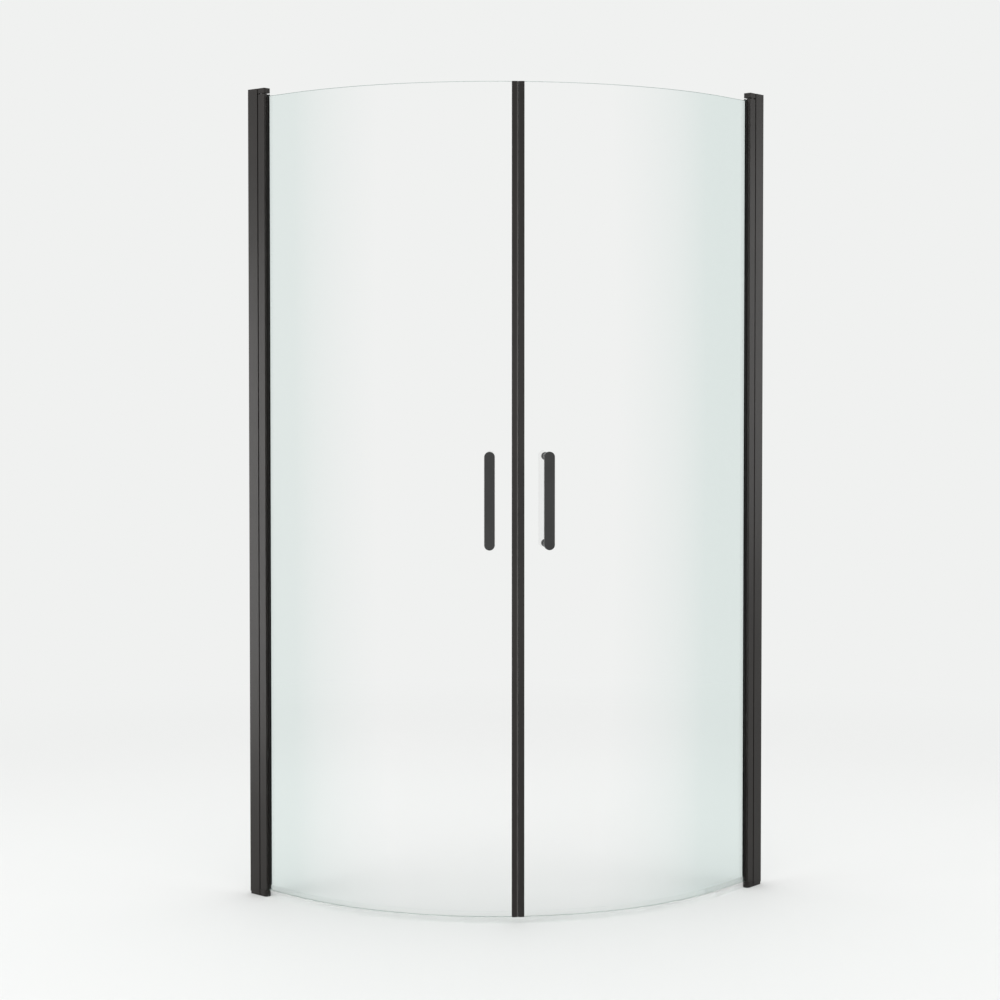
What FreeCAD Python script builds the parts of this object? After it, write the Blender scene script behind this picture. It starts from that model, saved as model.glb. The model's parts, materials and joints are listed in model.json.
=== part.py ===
import FreeCAD, Part

import math
import os
import re

import Sketcher

# Quadrant shower enclosure: two curved, hinged glass doors that stand in the corner of two walls
# and meet on its diagonal.  Millimetres, +Z up.  The origin is on the floor, in the middle of the
# square footprint.  The wall corner is at -X +Y, the wall planes are X = -envelope / 2 and
# Y = +envelope / 2, and the round front looks to +X -Y.  Only the left half is drawn, and the
# right half is its mirror image in the diagonal.
#
# A plan position on the left half is (s, t): s is the distance from the left wall, along the
# front, and t is the distance inwards from the outer face.

# Every size that can be set by itself, in millimetres.
SIZES = {
    # the enclosure as a whole
    "envelope": 890.0,              # footprint, from wall to outer face, both ways
    "height": 1950.0,
    "straight_run": 150.0,          # flat start of each side, from the wall to the curve
    "section": 19.0,                # thickness of the side assembly
    "running_gap": 0.3,             # between pieces that pass each other
    "press_gap": 0.02,              # round a pressed-in piece
    "pin_play": 0.05,               # round a hinge pin
    "thread_gap": 0.05,             # round a screw in its hole
    # wall profile, a U-channel screwed to the wall
    "wall_depth": 32.5,
    "wall_web": 2.0,
    "wall_flange": 1.6,
    "wall_hole_radius": 2.75,
    "wall_hole_margin": 120.0,      # outer holes, from the ends of the profile
    "wall_hole_pitch": 560.0,       # outer hole to inner hole
    # adjusting post, which slides in the wall profile
    "post_back": 6.0,               # from the wall
    "post_recess": 0.3,             # behind the front of the wall profile
    "post_skin": 1.5,
    "post_nose": 3.0,               # front wall, which holds the lip seal
    "port_radius": 1.95,            # screw port
    "port_rib": 6.0,                # web round a screw port
    "port_first": 14.0,             # from the wall
    "port_pitch": 10.0,
    "lip_width": 2.2,
    "lip_root": 2.0,                # depth of the lip seal in its groove
    "lip_round": 0.9,
    # screws that clamp the post in the wall profile, and their caps
    "clamp_margin": 150.0,          # outer screws, from the ends
    "clamp_shank": 1.7,
    "clamp_head": 3.5,
    "clamp_head_height": 2.2,
    "clamp_head_taper": 0.8,
    "clamp_length": 7.0,
    "cap_radius": 4.8,
    "cap_height": 3.4,
    "cap_wall": 0.9,
    # hinge blocks
    "top_block_height": 12.0,
    "bottom_block_height": 14.5,
    "foot_height": 6.0,
    "foot_back": 2.5,               # from the wall
    "face_gap": 3.2,                # between the wall profile and the full width of a block
    "foot_round": 9.0,              # round front of the bottom block
    "block_edge": 0.6,
    "block_screw": 1.9,
    "block_hole": 2.1,
    "countersink": 1.5,
    "head_sink": 0.1,               # from a countersunk head up to the face
    "block_screw_length": 25.0,
    # pivot profile, which turns on the pins and carries the glass
    "groove": 0.6,                  # between the wall profile and the round back
    "pivot_depth": 24.4,
    "pivot_round": 11.6,            # round back about the hinge axis
    "pivot_corner": 1.0,            # from the outer face into the round back
    "pivot_bore": 4.0,
    "pivot_top_gap": 2.5,
    "pivot_bottom_gap": 1.0,
    "bore_web": 1.2,                # between the bore and the glass slot
    "inner_lip": 1.2,               # wall between the glass slot and the inner face
    "chamber_wall": 1.3,
    # hinge pins and bushes
    "pin_radius": 2.5,
    "pin_seat": 9.0,                # depth of a pin in its block
    "pin_reach": 18.0,              # length of a pin in its bush
    "pin_chamfer": 0.5,
    "bush_flange": 6.5,
    "bush_length": 20.0,
    # glass door
    "glass_thickness": 6.0,
    "glass_bottom": 15.0,
    "glass_drop": 19.0,             # top edge, below the top of the enclosure
    # glazing gasket
    "gasket_wall": 1.2,
    "gasket_seat": 0.8,             # between the glass edge and the slot
    "gasket_proud": 3.2,            # in front of the pivot profile
    # drip seal under the glass
    "seal_start": 1.0,              # in front of the bottom block
    "seal_wall": 1.3,
    "seal_grip": 13.0,              # height of the legs on the glass
    "seal_plate": 1.5,
    "seal_floor_gap": 0.5,
    "seal_fin": 1.2,
    "seal_drip_reach": 5.0,
    "seal_drip_fall": 8.5,
    # closing edge: profile and magnetic strip
    "meeting_gap": 0.3,             # from the strip to the diagonal
    "strip_width": 9.0,
    "strip_head": 2.9,
    "strip_root": 2.4,
    "strip_neck": 5.0,
    "strip_round": 1.0,
    "edge_width": 14.2,             # from the diagonal to the back of the profile
    "edge_thickness": 11.0,
    "edge_grip": 6.8,               # depth of the glass in the profile
    "edge_clearance": 0.15,         # round the curved glass in the straight slot
    # handle
    "handle_height": 976.0,
    "handle_offset": 64.7,          # along the glass, from the diagonal
    "handle_pitch": 200.0,
    "bar_width": 24.0,
    "bar_thickness": 8.0,
    "bar_standoff": 38.0,           # from the glass to the back of the bar
    "bar_edge": 0.8,
    "post_radius": 9.0,
    "spigot_radius": 4.0,
    "spigot_length": 4.0,
    "glass_hole": 6.0,
    "sleeve_wall": 1.7,
    "washer_radius": 8.0,
    "washer_height": 1.0,
    "hollow_gap": 0.05,             # from a flat washer to the middle of the hollow glass face
    "stud_radius": 3.95,
    "stud_in_post": 12.0,
    "stud_in_knob": 8.0,
    "knob_length": 12.0,
    "knob_chamfer": 1.0,
}

# Positions that follow from the sizes.
PLACES = {
    "middle": "section / 2",
    "curve_radius": "envelope - straight_run",
    "pivot_back": "wall_depth + groove",
    "front": "pivot_back + pivot_depth",
    "axis_s": "pivot_back + pivot_round",
    "axis_t": "section - pivot_round",
    "corner_s": "axis_s - sqrt((pivot_round - pivot_corner) ^ 2 - (axis_t - pivot_corner) ^ 2)",
    "block_back": "wall_depth + face_gap",
    "post_front": "wall_depth - post_recess",
    "post_low": "wall_flange + running_gap",
    "post_high": "section - wall_flange - running_gap",
    "port_second": "port_first + port_pitch",
    "clamp_s": "port_first + port_pitch / 2",
    "top_block_z": "height - top_block_height",
    "pivot_z": "bottom_block_height + pivot_bottom_gap",
    "pivot_top_z": "top_block_z - pivot_top_gap",
    "glass_high": "section - inner_lip - gasket_wall",
    "glass_low": "glass_high - glass_thickness",
    "glass_middle": "glass_high - glass_thickness / 2",
    "glass_top": "height - glass_drop",
    "slot_low": "glass_low - gasket_wall",
    "slot_high": "glass_high + gasket_wall",
    "slot_back": "axis_s + pivot_bore + bore_web",
    "glass_edge": "slot_back + gasket_seat",
    "seal_s": "front + seal_start",
    "seal_low": "glass_low - seal_wall",
    "seal_high": "glass_high + seal_wall",
    "seal_top": "glass_bottom + seal_grip",
    "seal_under": "glass_bottom - seal_plate",
    "fin_low": "seal_low + seal_wall / 2",
    "strip_back": "meeting_gap + strip_head + strip_root",
    "edge_face": "meeting_gap + strip_head",
    "glass_end": "edge_width - edge_grip",
    "path_radius": "curve_radius - glass_middle",
    "handle_turn": "45 - handle_offset / (curve_radius - glass_low) * 180 / pi",
    "stud_hole": "stud_radius + thread_gap",
}

NAMES = re.compile(r"\b[a-z_]+\b")
SAME_PLACE = 0.01                   # largest difference between equal positions, in millimetres

document = FreeCAD.newDocument("quadrant_enclosure")
sheet = document.addObject("Spreadsheet::Sheet", "sizes")
for row, (name, size) in enumerate(SIZES.items(), start=1):
    sheet.set(f"A{row}", name)
    sheet.set(f"B{row}", str(size))
    sheet.setAlias(f"B{row}", name)
document.recompute()


def bound(text):
    """The expression with every place written out and every size taken from the sheet."""
    def swap(match):
        word = match.group(0)
        if word in PLACES:
            return f"({bound(PLACES[word])})"
        return f"sizes.{word}" if word in SIZES else word
    return NAMES.sub(swap, text)


def value(text):
    return float(sheet.evalExpression(bound(text).replace("sizes.", "")))


def new_body(label):
    body = document.addObject("PartDesign::Body", label)
    body.Label = label
    body.AllowCompound = True
    return body


def place(body, x, y, z="0", turn="0"):
    """Puts a body in the row frame, turned about the vertical by a number of degrees."""
    for axis, text in zip("xyz", (x, y, z)):
        body.setExpression(f"Placement.Base.{axis}", bound(text))
    body.setExpression("Placement.Rotation.Angle", bound(turn))


def place_side(body, s="0", t="0", z="0", turn="0"):
    place(body, f"{s} - envelope / 2", f"{t} - envelope / 2", z, turn)


def place_meeting(body):
    """Local X runs from the diagonal into the left door, and local Y is the distance from the
    centre of the curve."""
    place(body, "envelope / 2 - curve_radius", "curve_radius - envelope / 2", "0", "-135")


def place_handle(body, z="handle_height - handle_pitch / 2"):
    """Local X points out of the glass at the handle, from its outer face, and local Y runs along
    the glass."""
    reach = "(curve_radius - glass_low)"
    x = f"envelope / 2 - curve_radius + {reach} * sin(handle_turn * 1 deg)"
    y = f"curve_radius - envelope / 2 - {reach} * cos(handle_turn * 1 deg)"
    place(body, x, y, z, "handle_turn - 90")


def origin_part(body, role):
    return next(part for part in body.Origin.OriginFeatures if part.Role == role)


def new_sketch(body, name, plane="XY_Plane", lift="0"):
    sketch = body.newObject("Sketcher::SketchObject", name)
    sketch.AttachmentSupport = [(origin_part(body, plane), "")]
    sketch.MapMode = "FlatFace"
    sketch.setExpression("AttachmentOffset.Base.z", bound(lift))
    return sketch


def fix(sketch, kind, index, spot, text):
    """Holds one coordinate of a point of the sketch at a value from the sheet."""
    if text == "0":
        axis = -2 if kind == "DistanceX" else -1
        sketch.addConstraint(Sketcher.Constraint("PointOnObject", index, spot, axis))
        return
    constraint = Sketcher.Constraint(kind, -1, 1, index, spot, value(text))
    number = sketch.addConstraint(constraint)
    sketch.setExpression(f"Constraints[{number}]", bound(text))


def set_radius(sketch, index, text):
    number = sketch.addConstraint(Sketcher.Constraint("Radius", index, value(text)))
    sketch.setExpression(f"Constraints[{number}]", bound(text))


def outline(sketch, corners):
    """A closed outline of straight lines through corners, each a pair of expressions.  Lines
    whose ends share a coordinate are held upright or level, so it is fixed only once."""
    points = [FreeCAD.Vector(value(x), value(y), 0) for x, y in corners]
    count = len(corners)
    first = sketch.GeometryCount
    for i, point in enumerate(points):
        sketch.addGeometry(Part.LineSegment(point, points[(i + 1) % count]), False)
    for i in range(count):
        follower = first + (i + 1) % count
        sketch.addConstraint(Sketcher.Constraint("Coincident", first + i, 2, follower, 1))
    for side, kind, across in ((0, "DistanceX", "Vertical"), (1, "DistanceY", "Horizontal")):
        level = [corners[i][side] == corners[(i + 1) % count][side] for i in range(count)]
        for i in range(count):
            if level[i]:
                sketch.addConstraint(Sketcher.Constraint(across, first + i))
            if not level[i - 1]:
                fix(sketch, kind, first + i, 1, corners[i][side])


def rectangle(sketch, low_x, low_y, high_x, high_y):
    outline(sketch, [(low_x, low_y), (high_x, low_y), (high_x, high_y), (low_x, high_y)])


def circle(sketch, x, y, radius):
    centre = FreeCAD.Vector(value(x), value(y), 0)
    shape = Part.Circle(centre, FreeCAD.Vector(0, 0, 1), value(radius))
    index = sketch.addGeometry(shape, False)
    fix(sketch, "DistanceX", index, 3, x)
    fix(sketch, "DistanceY", index, 3, y)
    set_radius(sketch, index, radius)


def pad(body, sketch, length):
    feature = body.newObject("PartDesign::Pad", f"{sketch.Name}_pad")
    feature.Profile = sketch
    feature.setExpression("Length", bound(length))
    return feature


def pocket(body, sketch, length, reverse=False):
    """A pocket cuts against its sketch's normal, or along it when reversed."""
    feature = body.newObject("PartDesign::Pocket", f"{sketch.Name}_pocket")
    feature.Profile = sketch
    feature.Reversed = reverse
    feature.setExpression("Length", bound(length))
    return feature


def turned(body, name, corners, along="X", lift="0"):
    """A turned piece.  Corners are (position on the axis, radius), and the axis is the local X,
    or the local Z through (lift, 0)."""
    if along == "X":
        sketch = new_sketch(body, name, "XY_Plane", lift)
        outline(sketch, corners)
        axis = "H_Axis"
    else:
        sketch = new_sketch(body, name, "XZ_Plane")
        outline(sketch, [(radius, position) for position, radius in corners])
        axis = "V_Axis"
    feature = body.newObject("PartDesign::Revolution", f"{name}_turned")
    feature.Profile = sketch
    feature.ReferenceAxis = (sketch, [axis])
    feature.Angle = 360
    return feature


def repeat(body, features, axis, length, count):
    pattern = body.newObject("PartDesign::LinearPattern", f"{body.Name}_row")
    pattern.Originals = features
    pattern.Direction = (origin_part(body, axis), [""])
    pattern.setExpression("Length", bound(length))
    pattern.Occurrences = count
    body.Tip = pattern
    return pattern


def dress(body, kind, base, size, wanted):
    """A fillet or chamfer on the edges of a feature that wanted picks."""
    document.recompute()
    picked = [f"Edge{i}" for i, edge in enumerate(base.Shape.Edges, start=1) if wanted(edge)]
    feature = body.newObject(f"PartDesign::{kind}", f"{body.Name}_{kind.lower()}_{len(picked)}")
    feature.Base = (base, picked)
    feature.setExpression("Radius" if kind == "Fillet" else "Size", bound(size))
    return feature


def near(first, second):
    return abs(first - second) < SAME_PLACE


def at_level(edge, level):
    return near(edge.BoundBox.ZMin, level) and near(edge.BoundBox.ZMax, level)


def stands_at(edge, x):
    """An upright edge at a local X."""
    box = edge.BoundBox
    return near(box.XMin, x) and near(box.XMax, x) and near(box.YLength, 0)


# ---------------------------------------------------------------------------- fixed pieces

def wall_profile(body):
    place_side(body)
    sketch = new_sketch(body, "wall_section", lift="foot_height")
    high_flange = "section - wall_flange"
    outline(sketch, [
        ("0", "0"), ("wall_depth", "0"), ("wall_depth", "wall_flange"),
        ("wall_web", "wall_flange"), ("wall_web", high_flange), ("wall_depth", high_flange),
        ("wall_depth", "section"), ("0", "section"),
    ])
    pad(body, sketch, "height - foot_height")
    holes = new_sketch(body, "wall_holes", "YZ_Plane")
    low, high = "foot_height + wall_hole_margin", "height - wall_hole_margin"
    for level in (low, f"{low} + wall_hole_pitch", f"{high} - wall_hole_pitch", high):
        circle(holes, "middle", level, "wall_hole_radius")
    pocket(body, holes, "wall_web", reverse=True)
    clamp_holes(body, "wall_clamp_holes", "section", "wall_flange")


def clamp_holes(body, name, face, depth):
    """Three holes for the clamp screws, from a face that looks inwards."""
    sketch = new_sketch(body, name, "XZ_Plane", f"-({face})")
    for level in ("clamp_margin", "height / 2", "height - clamp_margin"):
        circle(sketch, "clamp_s", level, "clamp_shank + thread_gap")
    pocket(body, sketch, depth, reverse=True)


def post_profile(body):
    place_side(body)
    sketch = new_sketch(body, "post_section", lift="foot_height")
    groove_low, groove_high = "axis_t - lip_width / 2", "axis_t + lip_width / 2"
    groove_back = "post_front - lip_root"
    outline(sketch, [
        ("post_back", "post_low"), ("post_front", "post_low"), ("post_front", groove_low),
        (groove_back, groove_low), (groove_back, groove_high), ("post_front", groove_high),
        ("post_front", "post_high"), ("post_back", "post_high"),
    ])
    low, high = "post_low + post_skin", "post_high - post_skin"
    rectangle(sketch, "post_back + post_skin", low, "port_first - port_rib / 2", high)
    rectangle(sketch, "port_first + port_rib / 2", low, "port_second - port_rib / 2", high)
    rectangle(sketch, "port_second + port_rib / 2", low, "post_front - post_nose", high)
    circle(sketch, "port_first", "middle", "port_radius")
    circle(sketch, "port_second", "middle", "port_radius")
    pad(body, sketch, "top_block_z - foot_height")
    clamp_holes(body, "post_clamp_holes", "post_high", "post_skin")


def post_seal(body):
    """A lip in the nose of the post, which closes the gap behind the pivot profile."""
    place_side(body)
    start = "bottom_block_height + running_gap"
    sketch = new_sketch(body, "lip_section", lift=start)
    rectangle(sketch, "post_front - lip_root", "axis_t - lip_width / 2",
              "pivot_back - running_gap", "axis_t + lip_width / 2")
    bar = pad(body, sketch, f"top_block_z - ({start})")
    tip = value("pivot_back - running_gap")
    dress(body, "Fillet", bar, "lip_round", lambda edge: stands_at(edge, tip))


def clamp_screws(body):
    place_side(body, "clamp_s", "section", "clamp_margin", "90")
    screw = turned(body, "clamp_screw", [
        ("-clamp_length", "0"), ("-clamp_length", "clamp_shank"), ("0", "clamp_shank"),
        ("0", "clamp_head"), ("clamp_head_height", "clamp_head - clamp_head_taper"),
        ("clamp_head_height", "0"),
    ])
    repeat(body, [screw], "Z_Axis", "height - 2 * clamp_margin", 3)


def screw_caps(body):
    place_side(body, "clamp_s", "section", "clamp_margin", "90")
    inside = "cap_height - cap_wall"
    cap = turned(body, "screw_cap", [
        ("0", "cap_radius - cap_wall"), ("0", "cap_radius"), (inside, "cap_radius"),
        ("cap_height", "cap_radius - cap_wall"), ("cap_height", "0"), (inside, "0"),
        (inside, "cap_radius - cap_wall"),
    ])
    repeat(body, [cap], "Z_Axis", "height - 2 * clamp_margin", 3)


def block_holes(body, name, lift, depth):
    """Clearance holes for the two screws that hold a block to the post."""
    sketch = new_sketch(body, name, lift=lift)
    circle(sketch, "port_first", "middle", "block_hole")
    circle(sketch, "port_second", "middle", "block_hole")
    return pocket(body, sketch, depth)


def is_hole_rim(edge, level):
    return (at_level(edge, level) and isinstance(edge.Curve, Part.Circle)
            and near(edge.Curve.Radius, value("block_hole")))


def top_hinge_block(body):
    """A cap above the pivot profile, on a narrower arm that is screwed to the post."""
    place_side(body)
    cap = new_sketch(body, "top_cap", lift="top_block_z")
    rectangle(cap, "block_back", "0", "front", "section")
    pad(body, cap, "top_block_height")
    arm = new_sketch(body, "top_arm", lift="top_block_z")
    rectangle(arm, "post_back", "post_low", "block_back", "post_high")
    pad(body, arm, "top_block_height")
    bore = new_sketch(body, "top_pin_bore", lift="top_block_z")
    circle(bore, "axis_s", "axis_t", "pin_radius + press_gap")
    pocket(body, bore, "pin_seat", reverse=True)
    drilled = block_holes(body, "top_screw_holes", "height", "top_block_height")
    top = value("height")
    sunk = dress(body, "Chamfer", drilled, "countersink", lambda edge: is_hole_rim(edge, top))
    front = value("front")
    dress(body, "Chamfer", sunk, "block_edge",
          lambda edge: near(edge.BoundBox.XMax, front) and not at_level(edge, value("top_block_z")))


def bottom_hinge_block(body):
    """A boss under the pivot profile, and a foot under it and under the wall profile.  Both are
    narrower in the groove between the two profiles."""
    place_side(body)
    nose = [
        ("block_back", "post_low"), ("block_back", "0"), ("front", "0"),
        ("front", "section"), ("block_back", "section"), ("block_back", "post_high"),
    ]
    foot = new_sketch(body, "foot_plan")
    outline(foot, [
        ("foot_back", "0"), ("wall_depth", "0"), ("wall_depth", "post_low"), *nose,
        ("wall_depth", "post_high"), ("wall_depth", "section"), ("foot_back", "section"),
    ])
    pad(body, foot, "foot_height")
    boss = new_sketch(body, "boss_plan", lift="foot_height")
    neck = "wall_depth + running_gap"
    outline(boss, [(neck, "post_low"), *nose, (neck, "post_high")])
    solid = pad(body, boss, "bottom_block_height - foot_height")
    front = value("front")
    dress(body, "Fillet", solid, "foot_round", lambda edge: stands_at(edge, front))
    bore = new_sketch(body, "bottom_pin_bore", lift="bottom_block_height")
    circle(bore, "axis_s", "axis_t", "pin_radius + press_gap")
    pocket(body, bore, "pin_seat")
    drilled = block_holes(body, "bottom_screw_holes", "foot_height", "foot_height")
    sunk = dress(body, "Chamfer", drilled, "countersink", lambda edge: is_hole_rim(edge, 0))
    level = value("bottom_block_height")
    bore_side = value("axis_s + pin_radius + running_gap")
    dress(body, "Chamfer", sunk, "block_edge",
          lambda edge: at_level(edge, level) and edge.BoundBox.XMax > bore_side)


def hinge_block_screws(body):
    """Two countersunk screws down into the post's screw ports and two up into them."""
    place_side(body, "port_first", "middle")
    head = "block_hole + countersink - head_sink"
    face = "height - head_sink"
    top = turned(body, "top_screw", [
        ("height - block_screw_length", "0"), ("height - block_screw_length", "block_screw"),
        (f"{face} - countersink", "block_screw"), (face, head), (face, "0"),
    ], along="Z")
    bottom = turned(body, "bottom_screw", [
        ("head_sink", "0"), ("head_sink", head), ("head_sink + countersink", "block_screw"),
        ("block_screw_length", "block_screw"), ("block_screw_length", "0"),
    ], along="Z")
    repeat(body, [top, bottom], "X_Axis", "port_pitch", 2)


def pin(body, name, low, high):
    place_side(body, "axis_s", "axis_t")
    tip = "pin_radius - pin_chamfer"
    turned(body, name, [
        (low, "0"), (low, tip), (f"{low} + pin_chamfer", "pin_radius"),
        (f"{high} - pin_chamfer", "pin_radius"), (high, tip), (high, "0"),
    ], along="Z")


def top_hinge_pin(body):
    pin(body, "top_pin", "pivot_top_z - pin_reach", "top_block_z + pin_seat")


def bottom_hinge_pin(body):
    pin(body, "bottom_pin", "bottom_block_height - pin_seat", "pivot_z + pin_reach")


# ---------------------------------------------------------------------------- door pieces

def bush(body, name, root, shoulder, face):
    """A flanged sleeve: it fills the profile's bore from root to shoulder, and its flange
    reaches from the shoulder to the face beside the block."""
    place_side(body, "axis_s", "axis_t")
    inner = "pin_radius + pin_play"
    turned(body, name, [
        (root, inner), (root, "pivot_bore - press_gap"), (shoulder, "pivot_bore - press_gap"),
        (shoulder, "bush_flange"), (face, "bush_flange"), (face, inner),
    ], along="Z")


def top_bush(body):
    bush(body, "top_sleeve", "pivot_top_z - bush_length", "pivot_top_z", "top_block_z - running_gap")


def bottom_bush(body):
    bush(body, "bottom_sleeve", "pivot_z + bush_length", "pivot_z",
         "bottom_block_height + running_gap")


def pivot_profile(body):
    """An extrusion with a round back about the hinge axis, which runs into the inner face and,
    over a small corner, into the outer face.  A slot near the inner face grips the glass."""
    place_side(body)
    sketch = new_sketch(body, "pivot_section", lift="pivot_z")
    corners = [
        ("corner_s", "0"), ("front", "0"), ("front", "slot_low"), ("slot_back", "slot_low"),
        ("slot_back", "slot_high"), ("front", "slot_high"), ("front", "section"),
        ("axis_s", "section"),
    ]
    points = [FreeCAD.Vector(value(x), value(y), 0) for x, y in corners]
    back = len(points) - 1
    corner = back + 1
    for i in range(back):
        sketch.addGeometry(Part.LineSegment(points[i], points[i + 1]), False)
        if i:
            sketch.addConstraint(Sketcher.Constraint("Coincident", i - 1, 2, i, 1))
    up = FreeCAD.Vector(0, 0, 1)
    axis = FreeCAD.Vector(value("axis_s"), value("axis_t"), 0)
    turn = FreeCAD.Vector(value("corner_s"), value("pivot_corner"), 0)
    touch = math.pi + math.atan2(axis.y - turn.y, axis.x - turn.x)
    big, small = Part.Circle(axis, up, value("pivot_round")), Part.Circle(turn, up, turn.y)
    sketch.addGeometry(Part.ArcOfCircle(big, math.pi / 2, touch), False)
    sketch.addGeometry(Part.ArcOfCircle(small, touch, 1.5 * math.pi), False)
    for first, second in ((back - 1, back), (back, corner), (corner, 0)):
        sketch.addConstraint(Sketcher.Constraint("Tangent", first, 2, second, 1))
    for i in (0, 2, 4, 6):
        sketch.addConstraint(Sketcher.Constraint("Horizontal", i))
    for i in (1, 3, 5):
        sketch.addConstraint(Sketcher.Constraint("Vertical", i))
    fix(sketch, "DistanceX", back, 3, "axis_s")
    fix(sketch, "DistanceY", back, 3, "axis_t")
    set_radius(sketch, back, "pivot_round")
    set_radius(sketch, corner, "pivot_corner")
    fix(sketch, "DistanceY", 0, 2, "0")
    fix(sketch, "DistanceX", 1, 1, "front")
    fix(sketch, "DistanceY", 2, 1, "slot_low")
    fix(sketch, "DistanceX", 3, 1, "slot_back")
    fix(sketch, "DistanceY", 4, 1, "slot_high")
    fix(sketch, "DistanceX", 5, 1, "front")
    circle(sketch, "axis_s", "axis_t", "pivot_bore")
    rectangle(sketch, "slot_back + chamber_wall", "chamber_wall",
              "front - chamber_wall", "slot_low - chamber_wall")
    pad(body, sketch, "pivot_top_z - pivot_z")


def glazing_gasket(body):
    """A U of rubber round the glass edge, whose two lips stand out in front of the profile.  The
    lips start above the drip seal."""
    place_side(body)
    sketch = new_sketch(body, "gasket_section", lift="pivot_z")
    outline(sketch, [
        ("slot_back", "slot_low"), ("front", "slot_low"), ("front", "glass_low"),
        ("glass_edge", "glass_low"), ("glass_edge", "glass_high"), ("front", "glass_high"),
        ("front", "slot_high"), ("slot_back", "slot_high"),
    ])
    pad(body, sketch, "pivot_top_z - pivot_z")
    start = "seal_top + running_gap"
    lips = new_sketch(body, "gasket_lips", lift=start)
    rectangle(lips, "front", "slot_low", "front + gasket_proud", "glass_low")
    rectangle(lips, "front", "glass_high", "front + gasket_proud", "slot_high")
    pad(body, lips, f"glass_top - {start}")


def curve_centre(sketch, index):
    fix(sketch, "DistanceX", index, 3, "straight_run")
    fix(sketch, "DistanceY", index, 3, "curve_radius")


def end_turn(gap):
    """Degrees from the start of the curve to a point that lies gap short of the diagonal."""
    return f"45 - ({gap}) / path_radius * 180 / pi"


def glass_door(body):
    """A pane with a straight edge strip and then the curve, both bent from one sheet."""
    place_side(body)
    sketch = new_sketch(body, "glass_plan", lift="glass_bottom")
    turn = end_turn("glass_end + edge_clearance")
    last = math.radians(value(turn) - 90)
    up = FreeCAD.Vector(0, 0, 1)
    middle = FreeCAD.Vector(value("straight_run"), value("curve_radius"), 0)
    edge, low, high = value("glass_edge"), value("glass_low"), value("glass_high")
    outer, inner = middle.y - low, middle.y - high
    ray = FreeCAD.Vector(math.cos(last), math.sin(last), 0)
    lines = [
        Part.LineSegment(FreeCAD.Vector(edge, low, 0), FreeCAD.Vector(middle.x, low, 0)),
        Part.ArcOfCircle(Part.Circle(middle, up, outer), -math.pi / 2, last),
        Part.LineSegment(middle + ray * outer, middle + ray * inner),
        Part.ArcOfCircle(Part.Circle(middle, up, inner), -math.pi / 2, last),
        Part.LineSegment(FreeCAD.Vector(middle.x, high, 0), FreeCAD.Vector(edge, high, 0)),
        Part.LineSegment(FreeCAD.Vector(edge, high, 0), FreeCAD.Vector(edge, low, 0)),
    ]
    for line in lines:
        sketch.addGeometry(line, False)
    ruler = sketch.addGeometry(Part.LineSegment(middle, middle + ray * outer), True)
    for constraint in (
        ("Tangent", 0, 2, 1, 1), ("Coincident", 1, 2, 2, 1), ("Coincident", 2, 2, 3, 2),
        ("Tangent", 3, 1, 4, 1), ("Coincident", 4, 2, 5, 1), ("Coincident", 5, 2, 0, 1),
        ("Coincident", 3, 3, 1, 3), ("Coincident", ruler, 1, 1, 3), ("Coincident", ruler, 2, 1, 2),
        ("PointOnObject", 2, 2, ruler), ("Horizontal", 0), ("Horizontal", 4), ("Vertical", 5),
    ):
        sketch.addConstraint(Sketcher.Constraint(*constraint))
    curve_centre(sketch, 1)
    set_radius(sketch, 1, "curve_radius - glass_low")
    set_radius(sketch, 3, "curve_radius - glass_high")
    fix(sketch, "DistanceX", 5, 1, "glass_edge")
    tilt = Sketcher.Constraint("Angle", -1, 1, ruler, 1, last)
    number = sketch.addConstraint(tilt)
    sketch.setExpression(f"Constraints[{number}]", f"({bound(turn)} - 90) * 1 deg")
    pad(body, sketch, "glass_top - glass_bottom")
    holes = new_sketch(body, "handle_holes", "XZ_Plane")
    holes.AttachmentOffset = FreeCAD.Placement(
        FreeCAD.Vector(), FreeCAD.Rotation(FreeCAD.Vector(0, 1, 0), value("handle_turn")))
    holes.setExpression("AttachmentOffset.Base.x", bound("straight_run"))
    holes.setExpression("AttachmentOffset.Base.z", bound("-curve_radius"))
    holes.setExpression("AttachmentOffset.Rotation.Angle", bound("handle_turn"))
    for sign in "-+":
        circle(holes, "0", f"handle_height {sign} handle_pitch / 2", "glass_hole")
    pocket(body, holes, "curve_radius", reverse=True)


def seal_path(body, name, gap):
    """The run of the drip seal: along the straight edge strip, then round the curve until it is
    gap short of the diagonal."""
    sketch = new_sketch(body, name)
    last = math.radians(value(end_turn(gap)) - 90)
    start = FreeCAD.Vector(value("seal_s"), value("glass_middle"), 0)
    bend = FreeCAD.Vector(value("straight_run"), value("glass_middle"), 0)
    middle = FreeCAD.Vector(value("straight_run"), value("curve_radius"), 0)
    round_run = Part.Circle(middle, FreeCAD.Vector(0, 0, 1), value("path_radius"))
    sketch.addGeometry(Part.LineSegment(start, bend), False)
    sketch.addGeometry(Part.ArcOfCircle(round_run, -math.pi / 2, last), False)
    end = round_run.value(last)
    ruler = sketch.addGeometry(Part.LineSegment(middle, end), True)
    sketch.addConstraint(Sketcher.Constraint("Tangent", 0, 2, 1, 1))
    sketch.addConstraint(Sketcher.Constraint("Horizontal", 0))
    sketch.addConstraint(Sketcher.Constraint("Coincident", ruler, 1, 1, 3))
    sketch.addConstraint(Sketcher.Constraint("Coincident", ruler, 2, 1, 2))
    curve_centre(sketch, 1)
    set_radius(sketch, 1, "path_radius")
    fix(sketch, "DistanceX", 0, 1, "seal_s")
    number = sketch.addConstraint(Sketcher.Constraint("Angle", -1, 1, ruler, 1, last))
    sketch.setExpression(f"Constraints[{number}]", f"({bound(end_turn(gap))} - 90) * 1 deg")
    return sketch


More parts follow.
